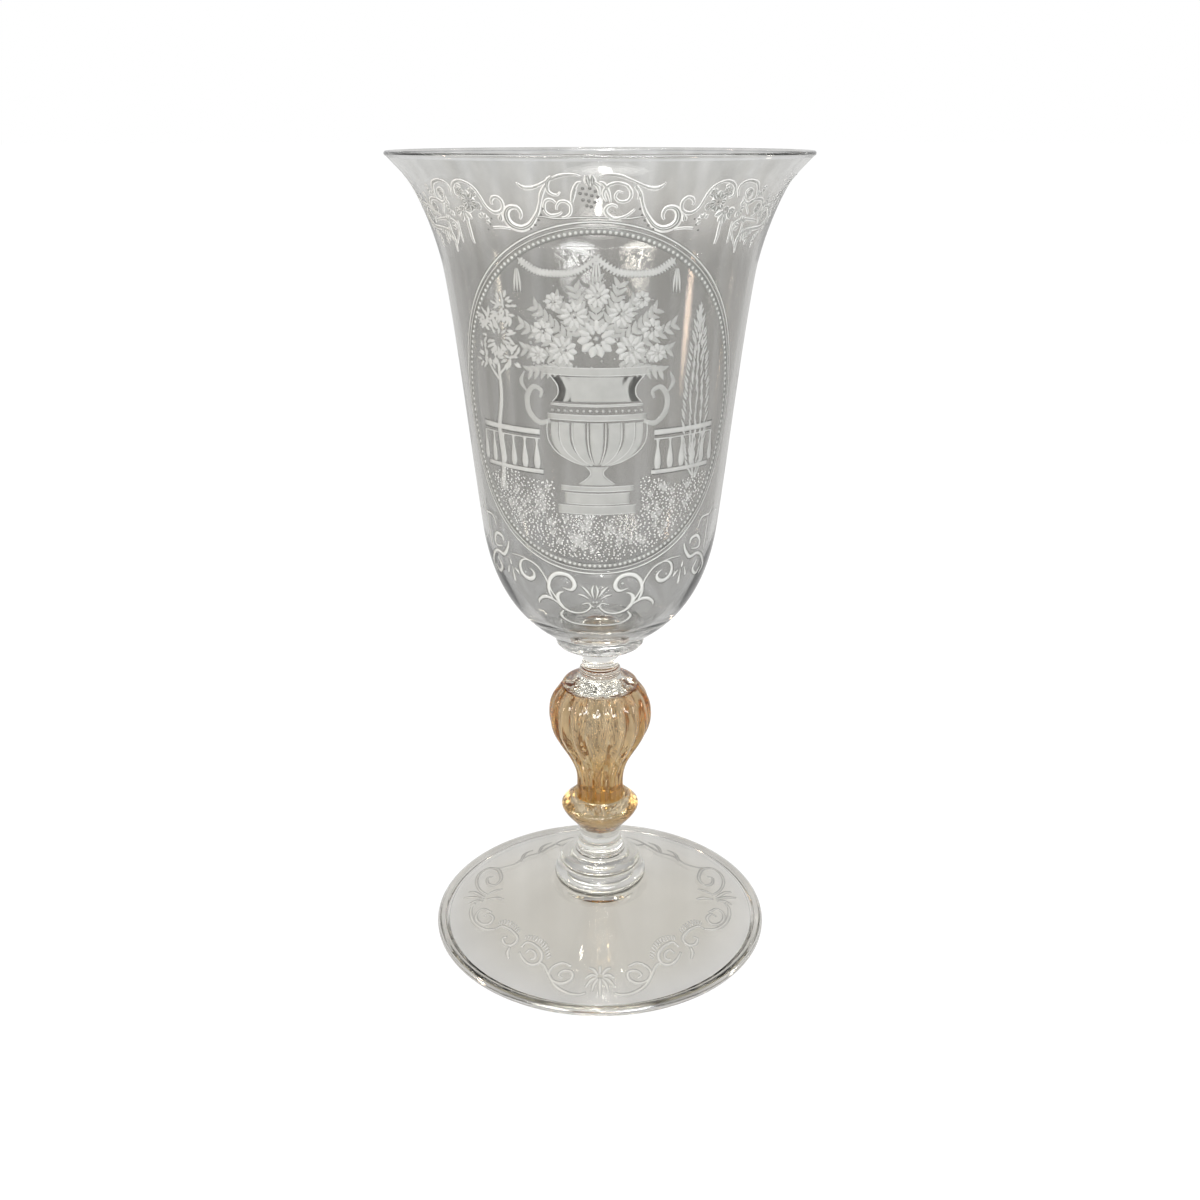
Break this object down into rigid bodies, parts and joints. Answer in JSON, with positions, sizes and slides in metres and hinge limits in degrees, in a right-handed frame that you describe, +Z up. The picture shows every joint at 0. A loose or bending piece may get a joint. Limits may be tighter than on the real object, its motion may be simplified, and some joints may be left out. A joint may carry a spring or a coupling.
{
  "type": "engraved glass stem vase",
  "caption": "Tall bell-shaped clear glass vase with a beaded rim, engraved ornament, a ribbed amber stem knop, stepped collars and a wide cone-shaped foot.",
  "frame": {"origin": "middle of the ring that the foot stands on, on the standing plane", "axes": "+Z up along the stem's axis to the rim; -Y is the engraved front, seen by the picture; +X is to the right of that view"},
  "size_m": [0.1534, 0.1534, 0.3211],
  "materials": {
    "engraved_clear_glass": "clear fire-polished soda glass with matt engraved ornament",
    "clear_glass": "clear, fire polished",
    "straw_glass": "clear with a straw tint, fire polished",
    "amber_glass": "pale amber, ribbed, fire polished"
  },
  "bodies": {
    "root": {"foot": "engraved_clear_glass", "lower_step": "clear_glass", "upper_step": "clear_glass", "lower_neck": "clear_glass", "lower_button": "clear_glass", "ring_knop": "straw_glass", "ribbed_knop": "amber_glass", "knop_shoulder": "straw_glass", "upper_neck": "clear_glass", "bowl_disc": "clear_glass", "bowl": "engraved_clear_glass"}
  },
  "joints": []
}
